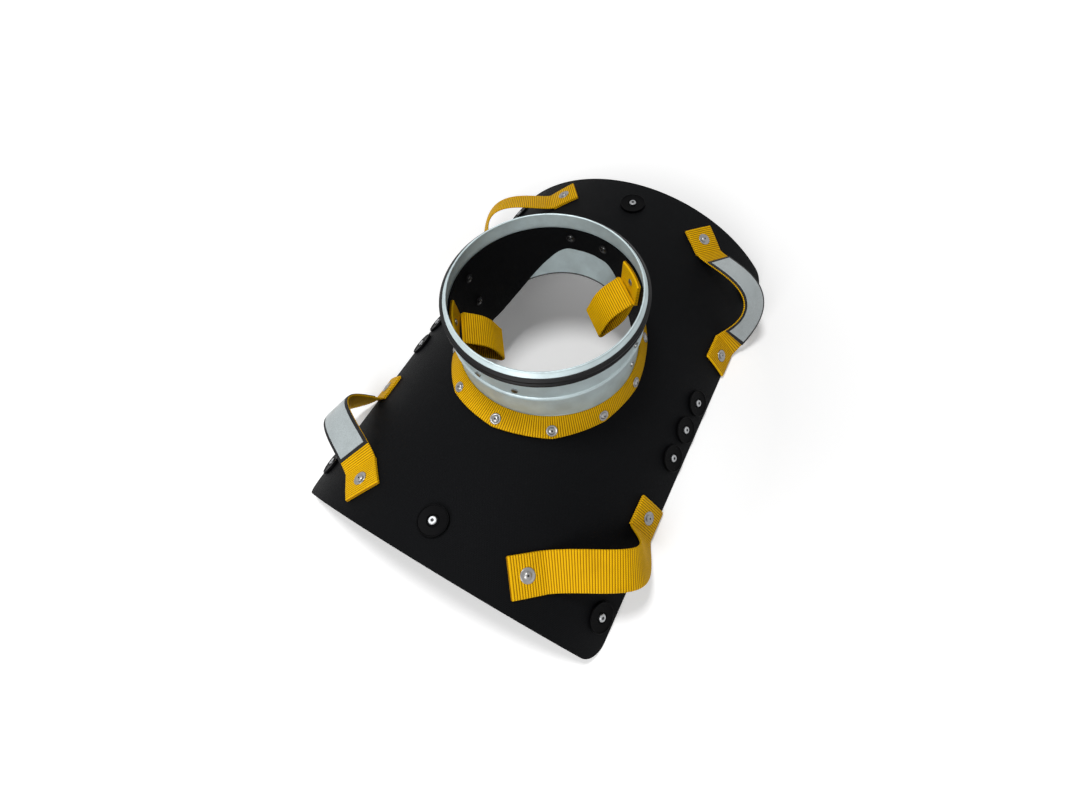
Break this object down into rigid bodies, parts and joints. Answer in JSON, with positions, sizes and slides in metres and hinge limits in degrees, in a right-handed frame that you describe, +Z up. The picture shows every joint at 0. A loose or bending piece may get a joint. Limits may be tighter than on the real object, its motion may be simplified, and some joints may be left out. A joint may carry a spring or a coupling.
{
  "type": "smoke hood",
  "caption": "Flexible magnetic smoke hood: a black sheet arched under a round steel duct spigot, with a riveted webbing collar, webbing handles and rubber-cased magnets.",
  "frame": {"origin": "centre of the bounding box in plan, on the plane the two long hems rest on", "axes": "+Z up along the duct spigot, +Y along the arch (the long side of the sheet)"},
  "size_m": [0.5118, 0.675, 0.2309],
  "materials": {
    "coated_fabric": "rubber-coated woven sheet, dull",
    "galvanised_steel": "zinc-coated, bright",
    "seal_rubber": "smooth",
    "lining_fabric": "coated, dull",
    "webbing": "ribbed woven webbing",
    "rivet_metal": "bright",
    "black_eyelet": "black",
    "disc_plastic": "satin",
    "screw_steel": "zinc-plated",
    "magnet_rubber": "moulded",
    "plate_steel": "plain",
    "magnet_alloy": "nickel-plated",
    "patch_fabric": "woven",
    "reflective_film": "silver-grey, bare"
  },
  "bodies": {
    "hood": {"sheet": "coated_fabric", "spigot": "galvanised_steel", "lip_seal": "seal_rubber", "lining_sleeve": "lining_fabric", "ring_strap": "webbing", "ring_rivets": "rivet_metal", "ring_rivet_washers": "rivet_metal", "ring_back_washers": "rivet_metal", "lining_rivets": "rivet_metal", "lining_rivet_washers": "black_eyelet", "handle_rivets": "rivet_metal", "handle_rivet_washers": "rivet_metal", "handle_back_washers": "rivet_metal", "loop_rivets": "rivet_metal", "clamp_discs": "disc_plastic", "magnet_screws": "screw_steel", "magnet_cases": "magnet_rubber", "magnet_plates": "plate_steel", "magnet_slugs": "magnet_alloy", "handle_ends_near_right": "webbing", "handle_ends_near_left": "webbing", "handle_ends_far_right": "webbing", "handle_ends_far_left": "webbing", "loop_base_right": "webbing", "loop_base_left": "webbing"},
    "grip_near_right": {"handle_grip_near_right": "webbing"},
    "grip_near_left": {"handle_grip_near_left": "webbing", "patch_backing_near_left": "patch_fabric", "reflective_patch_near_left": "reflective_film"},
    "grip_far_right": {"handle_grip_far_right": "webbing", "patch_backing_far_right": "patch_fabric", "reflective_patch_far_right": "reflective_film"},
    "grip_far_left": {"handle_grip_far_left": "webbing"},
    "loop_right": {"inner_loop_right": "webbing"},
    "loop_left": {"inner_loop_left": "webbing"}
  },
  "joints": [
    {"name": "handle_swing_near_right", "type": "hinge", "parent": "hood", "child": "grip_near_right", "pos_m": [0.19223, -0.24768, 0.09261], "axis": [0.593, 0.6277, -0.5043], "range_deg": [-25, 40], "stiffness_Nm_per_rad": 0.06},
    {"name": "handle_swing_near_left", "type": "hinge", "parent": "hood", "child": "grip_near_left", "pos_m": [-0.19223, -0.24768, 0.09261], "axis": [0.593, -0.6277, 0.5043], "range_deg": [-25, 40], "stiffness_Nm_per_rad": 0.06},
    {"name": "handle_swing_far_right", "type": "hinge", "parent": "hood", "child": "grip_far_right", "pos_m": [0.19223, 0.24768, 0.09261], "axis": [-0.593, 0.6277, 0.5043], "range_deg": [-25, 40], "stiffness_Nm_per_rad": 0.06},
    {"name": "handle_swing_far_left", "type": "hinge", "parent": "hood", "child": "grip_far_left", "pos_m": [-0.19223, 0.24768, 0.09261], "axis": [-0.593, -0.6277, -0.5043], "range_deg": [-25, 40], "stiffness_Nm_per_rad": 0.06},
    {"name": "loop_swing_right", "type": "hinge", "parent": "hood", "child": "loop_right", "pos_m": [0.07652, 0.08206, 0.17187], "axis": [-0.7314, 0.682, 0], "range_deg": [-5, 60], "stiffness_Nm_per_rad": 0.05},
    {"name": "loop_swing_left", "type": "hinge", "parent": "hood", "child": "loop_left", "pos_m": [-0.08929, -0.06487, 0.17187], "axis": [0.5878, -0.809, 0], "range_deg": [-5, 60], "stiffness_Nm_per_rad": 0.05}
  ]
}
